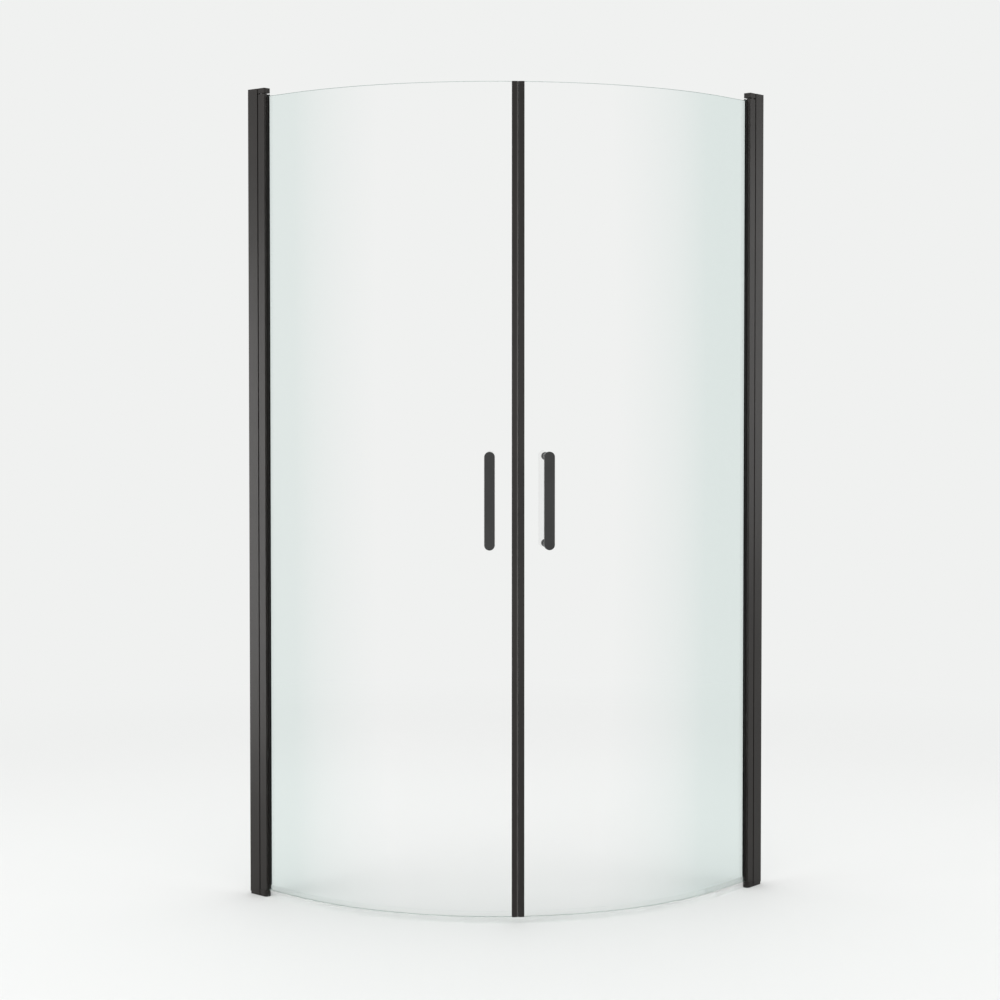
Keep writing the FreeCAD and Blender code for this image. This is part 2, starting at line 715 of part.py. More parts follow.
def sweep(body, name, corners, gap):
    spine = seal_path(body, f"{name}_path", gap)
    section = new_sketch(body, f"{name}_section", "YZ_Plane", "seal_s")
    outline(section, corners)
    feature = body.newObject("PartDesign::AdditivePipe", f"{name}_sweep")
    feature.Profile = section
    feature.Spine = (spine, ["Edge1", "Edge2"])
    return feature


def drip_seal(body):
    """A clear strip swept along the lower edge of the glass: a plate with a fin that hangs to
    the floor and a slanted drip lip, and two legs that grip the glass up to the edge profile."""
    place_side(body)
    lip = "seal_high + seal_drip_reach"
    lip_z = "seal_under - seal_drip_fall"
    sweep(body, "seal_skirt", [
        ("seal_low", "glass_bottom"), ("seal_low", "seal_under"), ("fin_low", "seal_under"),
        ("fin_low", "seal_floor_gap"), ("fin_low + seal_fin", "seal_floor_gap"),
        ("fin_low + seal_fin", "seal_under"), ("seal_high - seal_fin", "seal_under"),
        (f"{lip} - seal_fin", lip_z), (lip, f"{lip_z} + seal_fin / 2"),
        ("seal_high", "glass_bottom - seal_plate / 2"), ("seal_high", "glass_bottom"),
    ], "meeting_gap")
    root = "glass_bottom - seal_plate / 2"
    sweep(body, "seal_legs", [
        ("seal_low", root), ("seal_high", root), ("seal_high", "seal_top"),
        ("glass_high", "seal_top"), ("glass_high", "glass_bottom"), ("glass_low", "glass_bottom"),
        ("glass_low", "seal_top"), ("seal_low", "seal_top"),
    ], "edge_width + running_gap")


def magnet_profile(body):
    """The edge profile: a slot behind for the glass and a channel in front for the strip."""
    place_meeting(body)
    sketch = new_sketch(body, "edge_section", lift="glass_bottom")
    centre = "path_radius"
    face = f"{centre} + edge_thickness / 2"
    back = f"{centre} - edge_thickness / 2"
    slot_out = f"{centre} + glass_thickness / 2 + edge_clearance"
    slot_in = f"{centre} - glass_thickness / 2 - edge_clearance"
    neck_out, neck_in = f"{centre} + strip_neck / 2", f"{centre} - strip_neck / 2"
    outline(sketch, [
        ("edge_face", face), ("edge_width", face), ("edge_width", slot_out),
        ("glass_end", slot_out), ("glass_end", slot_in), ("edge_width", slot_in),
        ("edge_width", back), ("edge_face", back), ("edge_face", neck_in),
        ("strip_back", neck_in), ("strip_back", neck_out), ("edge_face", neck_out),
    ])
    pad(body, sketch, "glass_top - glass_bottom")


def magnet_strip(body):
    place_meeting(body)
    sketch = new_sketch(body, "strip_section", lift="glass_bottom")
    centre = "path_radius"
    head_out, head_in = f"{centre} + strip_width / 2", f"{centre} - strip_width / 2"
    neck_out, neck_in = f"{centre} + strip_neck / 2", f"{centre} - strip_neck / 2"
    outline(sketch, [
        ("meeting_gap", head_in), ("edge_face", head_in), ("edge_face", neck_in),
        ("strip_back", neck_in), ("strip_back", neck_out), ("edge_face", neck_out),
        ("edge_face", head_out), ("meeting_gap", head_out),
    ])
    bar = pad(body, sketch, "glass_top - glass_bottom")
    face = value("meeting_gap")
    dress(body, "Fillet", bar, "strip_round", lambda edge: stands_at(edge, face))


def handle_bar(body):
    """A flat bar with round ends, with two blind holes in its back."""
    place_handle(body, "handle_height")
    sketch = new_sketch(body, "bar_face", "YZ_Plane", "bar_standoff")
    half, end = value("bar_width / 2"), value("handle_pitch / 2")
    up = FreeCAD.Vector(0, 0, 1)
    top, bottom = FreeCAD.Vector(0, end, 0), FreeCAD.Vector(0, -end, 0)
    side = FreeCAD.Vector(half, 0, 0)
    sketch.addGeometry(Part.LineSegment(bottom + side, top + side), False)
    sketch.addGeometry(Part.ArcOfCircle(Part.Circle(top, up, half), 0, math.pi), False)
    sketch.addGeometry(Part.LineSegment(top - side, bottom - side), False)
    sketch.addGeometry(Part.ArcOfCircle(Part.Circle(bottom, up, half), math.pi, 2 * math.pi), False)
    for i in range(4):
        sketch.addConstraint(Sketcher.Constraint("Tangent", i, 2, (i + 1) % 4, 1))
    sketch.addConstraint(Sketcher.Constraint("Vertical", 0))
    set_radius(sketch, 1, "bar_width / 2")
    fix(sketch, "DistanceX", 1, 3, "0")
    fix(sketch, "DistanceY", 1, 3, "handle_pitch / 2")
    fix(sketch, "DistanceY", 3, 3, "-handle_pitch / 2")
    bar = pad(body, sketch, "bar_thickness")
    face = value("bar_standoff + bar_thickness")
    dress(body, "Chamfer", bar, "bar_edge", lambda edge: near(edge.BoundBox.XMin, face))
    holes = new_sketch(body, "bar_holes", "YZ_Plane", "bar_standoff")
    for sign in "-+":
        circle(holes, "0", f"{sign}handle_pitch / 2".lstrip("+"), "spigot_radius + press_gap")
    pocket(body, holes, "spigot_length + running_gap", reverse=True)


def handle_row(body, name, corners):
    """A turned piece at each end of the handle, on the axis of its glass hole."""
    place_handle(body)
    piece = turned(body, name, corners)
    repeat(body, [piece], "Z_Axis", "handle_pitch", 2)


def handle_posts(body):
    handle_row(body, "handle_post", [
        ("washer_height", "stud_hole"), ("washer_height", "post_radius"),
        ("bar_standoff", "post_radius"), ("bar_standoff", "spigot_radius"),
        ("bar_standoff + spigot_length", "spigot_radius"), ("bar_standoff + spigot_length", "0"),
        ("stud_in_post + washer_height", "0"), ("stud_in_post + washer_height", "stud_hole"),
    ])


def handle_sleeves(body):
    """Flanged sleeves that keep metal off the glass in its holes."""
    inner = "glass_hole - press_gap - sleeve_wall"
    handle_row(body, "handle_sleeve", [
        ("-glass_thickness", inner), ("-glass_thickness", "glass_hole - press_gap"),
        ("0", "glass_hole - press_gap"), ("0", "washer_radius"), ("washer_height", "washer_radius"),
        ("washer_height", inner),
    ])


def handle_washers(body):
    inner = "glass_hole - press_gap - sleeve_wall"
    seat = "-glass_thickness - hollow_gap"
    back = "-glass_thickness - washer_height"
    handle_row(body, "handle_washer", [
        (back, inner), (back, "washer_radius"), (seat, "washer_radius"), (seat, inner),
    ])


def handle_studs(body):
    low = "-glass_thickness - washer_height - stud_in_knob"
    high = "stud_in_post + washer_height - running_gap"
    handle_row(body, "handle_stud", [
        (low, "0"), (low, "stud_radius - pin_chamfer"), (f"{low} + pin_chamfer", "stud_radius"),
        (f"{high} - pin_chamfer", "stud_radius"), (high, "stud_radius - pin_chamfer"), (high, "0"),
    ])


def handle_knobs(body):
    """Round nuts inside the enclosure, which close the studs."""
    seat = "-glass_thickness - washer_height"
    bottom = f"{seat} - stud_in_knob - running_gap"
    end = f"{seat} - knob_length"
    handle_row(body, "handle_knob", [
        (end, "0"), (end, "post_radius - knob_chamfer"), (f"{end} + knob_chamfer", "post_radius"),
        (seat, "post_radius"), (seat, "stud_hole"), (bottom, "stud_hole"), (bottom, "0"),
    ])


PIECES = (
    wall_profile, post_profile, post_seal, clamp_screws, screw_caps, top_hinge_block,
    bottom_hinge_block, hinge_block_screws, top_hinge_pin, bottom_hinge_pin,
    pivot_profile, top_bush, bottom_bush, glass_door, glazing_gasket, drip_seal,
    magnet_profile, magnet_strip, handle_bar, handle_posts, handle_sleeves, handle_washers,
    handle_studs, handle_knobs,
)

nodes = []
for make in PIECES:
    drawn = new_body(f"left_{make.__name__}")
    make(drawn)
    nodes.append(drawn)
document.recompute()

for drawn in list(nodes):
    twin = document.addObject("Part::Mirroring", drawn.Label.replace("left_", "right_"))
    twin.Source = drawn
    twin.Base = FreeCAD.Vector(0, 0, 0)
    twin.Normal = FreeCAD.Vector(1, 1, 0)
    nodes.append(twin)
document.recompute()

failed = [thing.Label for thing in document.Objects if {"Invalid", "Error"} & set(thing.State)]
for node in nodes:
    if node.Shape.isNull() or not node.Shape.isValid() or not node.Shape.Solids:
        failed.append(node.Label)
if failed:
    raise RuntimeError(f"not built: {sorted(set(failed))}")

os.makedirs("parts", exist_ok=True)
for node in nodes:
    node.Shape.exportStep(f"parts/{node.Label}.step")
    print(node.Label, len(node.Shape.Solids), round(node.Shape.Volume, 1))
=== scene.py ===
import json
import math

import bmesh
import bpy
import numpy as np
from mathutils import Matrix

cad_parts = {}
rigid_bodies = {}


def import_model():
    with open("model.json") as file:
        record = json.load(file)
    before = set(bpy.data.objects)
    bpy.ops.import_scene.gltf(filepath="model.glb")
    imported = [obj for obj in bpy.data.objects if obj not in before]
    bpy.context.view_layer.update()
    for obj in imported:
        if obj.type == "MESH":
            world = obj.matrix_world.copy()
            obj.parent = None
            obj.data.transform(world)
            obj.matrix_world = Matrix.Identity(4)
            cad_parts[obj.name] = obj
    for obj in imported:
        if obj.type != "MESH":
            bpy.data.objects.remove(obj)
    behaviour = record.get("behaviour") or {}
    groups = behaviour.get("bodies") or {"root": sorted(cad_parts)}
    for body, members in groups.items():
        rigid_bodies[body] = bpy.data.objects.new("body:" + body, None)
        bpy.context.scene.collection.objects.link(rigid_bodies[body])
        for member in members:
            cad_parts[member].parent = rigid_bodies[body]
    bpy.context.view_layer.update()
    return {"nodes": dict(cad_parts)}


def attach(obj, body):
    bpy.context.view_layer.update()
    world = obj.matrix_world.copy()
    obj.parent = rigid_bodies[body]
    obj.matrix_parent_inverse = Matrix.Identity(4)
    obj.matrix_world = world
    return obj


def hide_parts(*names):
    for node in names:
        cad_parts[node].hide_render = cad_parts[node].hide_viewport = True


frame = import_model()


# ------------------------------------------------------------------ camera
# The photograph's viewing angle: a long lens at chest height, level to within two degrees and
# aimed at the meeting edges of the doors.

eye = (3.143, -3.647, 1.255)
heading = math.radians(130.99)
pitch = math.radians(-1.51)
camera = bpy.data.objects.new("camera", bpy.data.cameras.new("camera"))
bpy.context.scene.collection.objects.link(camera)
camera.location = eye
camera.rotation_euler = (math.pi / 2 + pitch, 0, heading - math.pi / 2)
camera.data.lens = 70.9
camera.data.shift_y = -0.07
bpy.context.scene.camera = camera


# ------------------------------------------------------------------ side profiles
# Extruded aluminium with a matt polyester powder coat, baked on.  The coat has a faint orange
# peel, and the extrusion's die lines run upright under it.  At the edges it goes lighter, partly
# as the coat flows thin and partly as a painted highlight.  The posts inside are painted a deeper
# black, which is painted shade in the groove they sit in.

MM = 0.001
sides = ("left", "right")


def linear(code):
    """Linear RGBA of an sRGB hex value: each channel over 255, then the sRGB curve undone."""
    channels = np.array([int(code[i:i + 2], 16) for i in (1, 3, 5)]) / 255
    low = channels / 12.92
    high = ((channels + 0.055) / 1.055) ** 2.4
    return (*np.where(channels <= 0.04045, low, high), 1.0)


def add(tree, kind, settings=None, links=None):
    """Adds a node, sets its sockets and properties by name, and links its inputs."""
    node = tree.nodes.new("ShaderNode" + kind)
    for name, value in (settings or {}).items():
        if name in node.inputs:
            node.inputs[name].default_value = value
        else:
            setattr(node, name, value)
    for name, source in (links or {}).items():
        tree.links.new(source, node.inputs[name])
    return node


def new_material(name):
    """Gives a new material, its cleared node tree and the socket of its Object coordinates."""
    material = bpy.data.materials.new(name)
    material.use_nodes = True
    tree = material.node_tree
    tree.nodes.clear()
    return material, tree, add(tree, "TexCoord").outputs["Object"]


def finish_nodes(names, material, on=sides):
    """Gives a material to the CAD nodes of these names, on both sides or on one."""
    for side in on:
        for name in names:
            for slot in frame["nodes"][f"{side}_{name}"].material_slots:
                slot.material = material


def coated(name, colour, thin_coat_and_highlight_colour, roughness, grain_mm, streak_mm, edge_mm, cloud_mm=90):
    """Powder coat.  The colour is multiplied by broad noise, and goes over to a lighter edge colour
    as the normal rounded over edge_mm leans away from the flat one: partly the coat flowing thin
    there, partly a painted highlight along the edges.  Fine noise gives the orange peel, and noise
    stretched upright the die lines, drawn coarser than real ones so that they show."""
    material, tree, place = new_material(name)
    cloud = add(tree, "TexNoise", {"Scale": 1 / (cloud_mm * MM), "Detail": 3.0},
                {"Vector": place})
    grain = add(tree, "TexNoise", {"Scale": 1 / (grain_mm * MM), "Detail": 2.0},
                {"Vector": place})
    upright = add(tree, "Mapping", {"Scale": (1.0, 1.0, 0.004)}, {"Vector": place})
    streak = add(tree, "TexNoise", {"Scale": 1 / (streak_mm * MM), "Detail": 2.0},
                 {"Vector": upright.outputs["Vector"]})
    rounded = add(tree, "Bevel", {"samples": 6, "Radius": edge_mm * MM})
    flat = add(tree, "NewGeometry")
    lean = add(tree, "VectorMath", {"operation": "DOT_PRODUCT"},
               {0: rounded.outputs["Normal"], 1: flat.outputs["Normal"]})
    edge = add(tree, "MapRange", {"From Min": 1.0, "From Max": 0.75, "To Min": 0.0, "To Max": 1.0},
               {"Value": lean.outputs["Value"]})
    drift = add(tree, "MapRange", {"From Min": 0.3, "From Max": 0.7, "To Min": 0.86, "To Max": 1.1},
                {"Value": cloud.outputs["Fac"]})
    body = add(tree, "MixRGB", {"blend_type": "MULTIPLY", "Fac": 1.0, "Color1": linear(colour)},
               {"Color2": drift.outputs["Result"]})
    # The lighter edge colour is partly the thin coat there and partly a painted highlight along the
    # edges.
    tone = add(tree, "MixRGB", {"Color2": linear(thin_coat_and_highlight_colour)},
               {"Fac": edge.outputs["Result"], "Color1": body.outputs["Color"]})
    gloss = add(tree, "MapRange", {"From Min": 0.3, "From Max": 0.7, "To Min": roughness - 0.05,
                                   "To Max": roughness + 0.05}, {"Value": grain.outputs["Fac"]})
    lines = add(tree, "Bump", {"Strength": 0.25, "Distance": 0.02 * MM},
                {"Height": streak.outputs["Fac"], "Normal": rounded.outputs["Normal"]})
    peel = add(tree, "Bump", {"Strength": 0.35, "Distance": 0.03 * MM},
               {"Height": grain.outputs["Fac"], "Normal": lines.outputs["Normal"]})
    shader = add(tree, "BsdfPrincipled", {"IOR": 1.5, "Specular IOR Level": 0.24},
                 {"Base Color": tone.outputs["Color"], "Roughness": gloss.outputs["Result"],
                  "Normal": peel.outputs["Normal"]})
    add(tree, "OutputMaterial", None, {"Surface": shader.outputs["BSDF"]})
    return material


profile_coat = coated("powder_coated_aluminium", "#1e1b19", "#3c3734", roughness=0.48,
                      grain_mm=0.9, streak_mm=0.8, edge_mm=0.5)
# The posts' deeper black is painted shade for the groove they sit in.
post_coat_painted_shade = coated("powder_coated_posts_painted_shade", "#121110", "#1c1a19", roughness=0.5,
                   grain_mm=0.9, streak_mm=0.8, edge_mm=0.5)
finish_nodes(["wall_profile", "pivot_profile", "magnet_profile"], profile_coat)
finish_nodes(["post_profile"], post_coat_painted_shade)


# ------------------------------------------------------------------ hinge blocks
# Die-cast zinc, trimmed, blasted and powder coated like the profiles.  The casting's skin is a
# little rougher and its edges rounder.

casting_coat = coated("powder_coated_zinc_casting", "#1e1b19", "#3c3733", roughness=0.52,
                      grain_mm=1.3, streak_mm=6.0, edge_mm=0.8)
finish_nodes(["top_hinge_block", "bottom_hinge_block"], casting_coat)


# ------------------------------------------------------------------ glass doors
# 6 mm toughened glass, clear with the faint green of iron, bent in plan: flat for a hand's
# width at the hinge and then one curve.  The rim is ground to a narrow arris and polished.

mount_face = -445 * MM
straight_run = 150 * MM
curve_centre = np.array([mount_face + straight_run, -mount_face - straight_run])
curve_radius = 726.4 * MM                  # to the middle of the glass
half_pane = 3 * MM
glass_bottom, glass_top = 15 * MM, 1931 * MM
arris = 0.6 * MM
hinge_end = mount_face + 50.7 * MM
closing_gap = 7.55 * MM                    # from the closing edge to the diagonal
handle_level, half_pitch = 976 * MM, 100 * MM
hole_levels = (handle_level - half_pitch, handle_level + half_pitch)
hole_radius = 6 * MM
hole_turn = math.radians(39.918 - 90)      # of the handle's line, about the curve's centre


def on_side(points, side):
    """The left half's points, or for the right half their mirror image in the diagonal:
    (x, y) becomes (-y, -x)."""
    if side == "left":
        return points
    return points[..., [1, 0, 2]] * np.array([-1, -1, 1])


def on_curve(angle):
    """Points on the curve in the middle of the glass, centre + radius * (cos, sin), and the
    outward directions there."""
    outward = np.stack([np.cos(angle), np.sin(angle), 0 * angle], -1)
    return np.append(curve_centre, 0) + curve_radius * outward, outward


def along_door(start, gap, step):
    """Stations in the middle of the glass: a start and one more on the flat part, then one at
    every step round the curve until the last is gap short of the diagonal.  Gives each one's
    point, outward direction and upward direction."""
    last = math.pi / 4 - gap / curve_radius
    turn = np.linspace(0, last, int(last * curve_radius / step)) - math.pi / 2
    curve, outward = on_curve(turn)
    flat = [[x, curve[0, 1], 0] for x in (start, (start + curve_centre[0]) / 2)]
    origins = np.concatenate([flat, curve])
    outward = np.concatenate([outward[[0, 0]], outward])
    return origins, outward, np.tile([0, 0, 1.0], (len(origins), 1))


def ring_faces(count, size, closed):
    """Faces between rings of corners, each to the next one: round to the first ring again, or
    with the first and the last ring as end faces."""
    rows = np.arange(count if closed else count - 1)[:, None]
    columns = np.arange(size)[None, :]
    after, beside = (rows + 1) % count, (columns + 1) % size
    faces = np.stack([rows * size + columns, after * size + columns,
                      after * size + beside, rows * size + beside], -1).reshape(-1, 4).tolist()
    if not closed:
        faces += [list(range(size)), list(range((count - 1) * size, count * size))]
    return faces


def carried(profile, origins, across, along, closed=False):
    """A closed profile carried through stations: point = origin + across * first + along *
    second.  Gives the points as one array and the faces as corner numbers."""
    profile = np.asarray(profile, float)
    points = (origins[:, None] + across[:, None] * profile[None, :, :1]
              + along[:, None] * profile[None, :, 1:])
    return points.reshape(-1, 3), ring_faces(len(origins), len(profile), closed)


def turned(profile, foot, axis, steps=64):
    """A turned piece: (distance along the axis from its foot, radius) pairs carried round the
    axis."""
    sideways = np.cross(axis, [0, 0, 1.0])
    sideways /= np.linalg.norm(sideways)
    angle = np.arange(steps)[:, None] * 2 * math.pi / steps
    spokes = sideways * np.cos(angle) + np.cross(sideways, axis) * np.sin(angle)
    return carried(profile, np.tile(foot, (steps, 1)), np.tile(axis, (steps, 1)), spokes,
                   closed=True)


def closed_mesh(name, shapes, side):
    """One mesh of a side from (points, faces) shapes of the left half, with doubles merged and
    faces turned outwards."""
    mesh = bpy.data.meshes.new(name)
    points = np.concatenate([points for points, faces in shapes])
    starts = np.cumsum([0] + [len(points) for points, faces in shapes])
    corners = [[corner + start for corner in face]
               for start, (_, faces) in zip(starts, shapes) for face in faces]
    mesh.from_pydata(on_side(points, side).tolist(), [], corners)
    made = bmesh.new()
    made.from_mesh(mesh)
    bmesh.ops.remove_doubles(made, verts=made.verts, dist=0.001 * MM)
    bmesh.ops.recalc_face_normals(made, faces=made.faces)
    made.to_mesh(mesh)
    made.free()
    return mesh


def smooth(mesh, sharp):
    """Smooth shading, except at edges sharper than an angle in degrees."""
    mesh.shade_smooth()
    mesh.set_sharp_from_angle(angle=math.radians(sharp))


def door_piece(side, name, shapes, materials, replaced, sharp=30):
    """A piece of a door in place of one of its CAD nodes, from shapes of the left half."""
    mesh = closed_mesh(f"{side}_{name}", shapes, side)
    piece = bpy.data.objects.new(f"{side}_{name}", mesh)
    bpy.context.scene.collection.objects.link(piece)
    for material in materials:
        mesh.materials.append(material)
    smooth(mesh, sharp)
    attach(piece, f"{side}_door")
    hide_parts(f"{side}_{replaced}")
    return piece


def lets_lamps_through(tree, shader, colour):
    """Ends a material.  Rays to the lamps pass straight through it, only coloured, so its shadow
    is as faint as a real one."""
    clear = add(tree, "BsdfTransparent", {"Color": linear(colour)})
    ray = add(tree, "LightPath")
    choice = add(tree, "MixShader", None, {0: ray.outputs["Is Shadow Ray"],
                                           1: shader.outputs["BSDF"], 2: clear.outputs["BSDF"]})
    add(tree, "OutputMaterial", None, {"Surface": choice.outputs["Shader"]})


def glass(name, face_colour, grazing_colour, roughness, clearness):
    """Clear glass: tinted more where it is seen at a slant, as a longer way through it is, and
    bent a little by broad noise, the waves that the rollers leave.  A rim is less clear, because
    the light in it has come a long way through the pane."""
    material, tree, place = new_material(name)
    slant = add(tree, "LayerWeight", {"Blend": 0.5})
    depth = add(tree, "MapRange", {"From Min": 0.1, "From Max": 0.35},
                {"Value": slant.outputs["Facing"]})
    tint = add(tree, "MixRGB", {"Color1": linear(face_colour), "Color2": linear(grazing_colour)},
               {"Fac": depth.outputs["Result"]})
    wave = add(tree, "TexNoise", {"Scale": 1 / (120 * MM), "Detail": 1.0}, {"Vector": place})
    roller = add(tree, "Bump", {"Strength": 0.04, "Distance": 0.05 * MM},
                 {"Height": wave.outputs["Fac"]})
    shader = add(tree, "BsdfPrincipled",
                 {"IOR": 1.52, "Roughness": roughness, "Transmission Weight": clearness},
                 {"Base Color": tint.outputs["Color"], "Normal": roller.outputs["Normal"]})
    lets_lamps_through(tree, shader, face_colour)
    return material


def handle_foot(level):
    """The point on the outer face of the glass at a level on the handle's line, and the
    direction out of the glass there."""
    point, outward = on_curve(hole_turn)
    return point + half_pane * outward + [0, 0, level], outward


def drill_holes(door, side):
    """Cuts the two handle holes through a pane with drills well longer than it is thick."""
    reach = 20 * MM
    drill = [(-reach, 0), (-reach, hole_radius), (reach, hole_radius), (reach, 0)]
    drills = []
    for level in hole_levels:
        mesh = closed_mesh("drill", [turned(drill, *handle_foot(level))], side)
        drills.append(bpy.data.objects.new("drill", mesh))
        bpy.context.scene.collection.objects.link(drills[-1])
        cut = door.modifiers.new("hole", "BOOLEAN")
        cut.object = drills[-1]
        cut.solver = "EXACT"
    bpy.context.view_layer.update()
    seen = door.evaluated_get(bpy.context.evaluated_depsgraph_get())
    whole = bpy.data.meshes.new_from_object(seen)
    door.modifiers.clear()
    door.data = whole
    for drill in drills:
        bpy.data.objects.remove(drill)


def mark_rim(mesh, side):
    """Gives a pane's second material to its rim: the faces that look up or down, and those with
    their middle inside the thickness of the glass, which are the arrises, the ends and the walls
    of the holes."""
    normals = np.zeros(len(mesh.polygons) * 3)
    middles = np.zeros(len(mesh.polygons) * 3)
    mesh.polygons.foreach_get("normal", normals)
    mesh.polygons.foreach_get("center", middles)
    rise, margin = 0.3, 0.2 * MM
    level = np.abs(normals.reshape(-1, 3)[:, 2]) > rise
    across, along = (on_side(middles.reshape(-1, 3), side)[:, :2] - curve_centre).T
    reach = np.where(across < 0, -along, np.hypot(across, along))
    inside = np.abs(reach - curve_radius) < half_pane - margin
    mesh.polygons.foreach_set("material_index", (level | inside).astype(np.int32))


pane_glass = glass("toughened_clear_glass", "#ffffff", "#dbe9e6", roughness=0.0, clearness=1.0)
rim_glass = glass("polished_glass_rim", "#d0dfda", "#bccfc9", roughness=0.12, clearness=0.3)
outline = [(-half_pane, glass_bottom + arris), (-half_pane + arris, glass_bottom),
           (half_pane - arris, glass_bottom), (half_pane, glass_bottom + arris),
           (half_pane, glass_top - arris), (half_pane - arris, glass_top),
           (-half_pane + arris, glass_top), (-half_pane, glass_top - arris)]
pane = carried(outline, *along_door(hinge_end, closing_gap, step=6 * MM))
for side in sides:
    door = door_piece(side, "glass_pane", [pane], [pane_glass, rim_glass],
                      "glass_door")
    drill_holes(door, side)
    smooth(door.data, sharp=30)
    mark_rim(door.data, side)


# ------------------------------------------------------------------ drip seals
# Clear soft vinyl, extruded and pushed on the lower edge of the glass.  Two legs grip the pane,
# a thin fin hangs almost to the floor, and a slanted lip throws drops back inside.

def clear_vinyl(name, colour, roughness):
    """Soft vinyl: clear but milky, with the level lines of the extrusion die, which are noise
    drawn out level.  They are drawn coarser than real ones, so that they show."""
    material, tree, place = new_material(name)
    level = add(tree, "Mapping", {"Scale": (0.01, 0.01, 1.0)}, {"Vector": place})
    lines = add(tree, "TexNoise", {"Scale": 1 / (1.2 * MM), "Detail": 2.0},
                {"Vector": level.outputs["Vector"]})
    gloss = add(tree, "MapRange", {"To Min": roughness - 0.06, "To Max": roughness + 0.06},
                {"Value": lines.outputs["Fac"]})
    bump = add(tree, "Bump", {"Strength": 0.4, "Distance": 0.05 * MM},
               {"Height": lines.outputs["Fac"]})
    shader = add(tree, "BsdfPrincipled",
                 {"Base Color": linear(colour), "IOR": 1.25, "Transmission Weight": 1.0,
                  "Alpha": 0.18},
                 {"Roughness": gloss.outputs["Result"], "Normal": bump.outputs["Normal"]})
    lets_lamps_through(tree, shader, colour)
    return material


def rounded(corners, radius, steps=3):
    """A polygon with its corners rounded: each one becomes a quadratic curve between points a
    radius before and after it, or less where an edge is short."""
    corners = np.asarray(corners, float)
    before, after = np.roll(corners, 1, 0) - corners, np.roll(corners, -1, 0) - corners
    lengths = [np.linalg.norm(edge, axis=1, keepdims=True) for edge in (before, after)]
    first = corners + before / lengths[0] * np.minimum(radius, lengths[0] / 2.5)
    second = corners + after / lengths[1] * np.minimum(radius, lengths[1] / 2.5)
    share = np.linspace(0, 1, steps + 1)[None, :, None]
    curve = ((1 - share) ** 2 * first[:, None] + 2 * share * (1 - share) * corners[:, None]
             + share ** 2 * second[:, None])
    return curve.reshape(-1, 2)


leg_wall, plate, fin = 1.3 * MM, 1.5 * MM, 1.2 * MM        # thicknesses
half_slot = 3.05 * MM                      # between the legs
corner_radius = 0.4 * MM
leg_face = half_pane + leg_wall
leg_top = glass_bottom + 13 * MM
plate_under = glass_bottom - plate
fin_face, fin_end = leg_face - leg_wall / 2, 0.5 * MM
lip_root, lip_reach, lip_fall = leg_face - fin, 5 * MM, 8.5 * MM
hanging = [(leg_face, glass_bottom), (leg_face, plate_under),
           (fin_face, plate_under), (fin_face, fin_end),
           (fin_face - fin, fin_end), (fin_face - fin, plate_under),
           (-lip_root, plate_under), (-lip_root - lip_reach, plate_under - lip_fall),
           (-leg_face - lip_reach, plate_under - lip_fall + fin / 2),
           (-leg_face, plate_under + plate / 2)]
legs = [(-leg_face, leg_top), (-half_slot, leg_top), (-half_slot, glass_bottom),
        (half_slot, glass_bottom), (half_slot, leg_top), (leg_face, leg_top)]
grip = rounded([*hanging, *legs], corner_radius)
skirt = rounded([*hanging, (-leg_face, glass_bottom)], corner_radius)

# The legs stop short of the edge profile.  The skirt below them starts a little inside their end
# and runs on under it.
seal_start = mount_face + 58.5 * MM
leg_gap, skirt_gap, lap = 14.5 * MM, 0.3 * MM, 0.02 * MM
origins, outward, up = along_door(seal_start, leg_gap, step=8 * MM)
main = carried(grip, origins, outward, up)
skirt_turn = -math.pi / 4 - np.array([leg_gap - lap, skirt_gap]) / curve_radius
tip = carried(skirt, *on_curve(skirt_turn), up[:2])
seal_vinyl = clear_vinyl("clear_soft_vinyl", "#fbfdfc", roughness=0.1)
for side in sides:
    door_piece(side, "vinyl_drip_seal", [main, tip], [seal_vinyl], "drip_seal")


# ------------------------------------------------------------------ rubber seals
# Extruded black rubber: the gasket that holds each pane in its pivot profile, and the lip
# behind it that closes the groove.  The magnetic strips where the doors meet are two painted
# copies of one rubber: the left one greyer, a painted highlight, the right one near black, a
# painted shade.

def rubber(name, colour, roughness):
    """Matt rubber: near black, with a bloom that lifts the colour in patches.  Its fine skin is
    drawn coarser than it is, so that it shows."""
    material, tree, place = new_material(name)
    bloom = add(tree, "TexNoise", {"Scale": 1 / (25 * MM), "Detail": 4.0}, {"Vector": place})
    lift = add(tree, "MapRange", {"From Min": 0.3, "From Max": 0.7, "To Min": 0.8, "To Max": 1.25},
               {"Value": bloom.outputs["Fac"]})
    tone = add(tree, "MixRGB", {"blend_type": "MULTIPLY", "Fac": 1.0, "Color1": linear(colour)},
               {"Color2": lift.outputs["Result"]})
    skin = add(tree, "TexNoise", {"Scale": 1 / (0.6 * MM), "Detail": 2.0}, {"Vector": place})
    bump = add(tree, "Bump", {"Strength": 0.4, "Distance": 0.04 * MM},
               {"Height": skin.outputs["Fac"]})
    shader = add(tree, "BsdfPrincipled", {"IOR": 1.5, "Roughness": roughness},
                 {"Base Color": tone.outputs["Color"], "Normal": bump.outputs["Normal"]})
    add(tree, "OutputMaterial", None, {"Surface": shader.outputs["BSDF"]})
    return material


seal_rubber = rubber("black_extruded_rubber", "#121110", roughness=0.7)
strip_painted_highlight = rubber("magnetic_rubber_painted_highlight", "#3a3734", roughness=0.45)
strip_painted_shade = rubber("magnetic_rubber_painted_shade", "#141312", roughness=0.6)
finish_nodes(["glazing_gasket", "post_seal"], seal_rubber)
# Painted highlight on the left strip and painted shade on the right one, as copies of one rubber.
finish_nodes(["magnet_strip"], strip_painted_highlight, on=["left"])
finish_nodes(["magnet_strip"], strip_painted_shade, on=["right"])


# ------------------------------------------------------------------ pins and screws
# Turned and cold-headed stainless steel, left bright.  The tool leaves fine rings on it, drawn
# coarser than real ones so that they show.

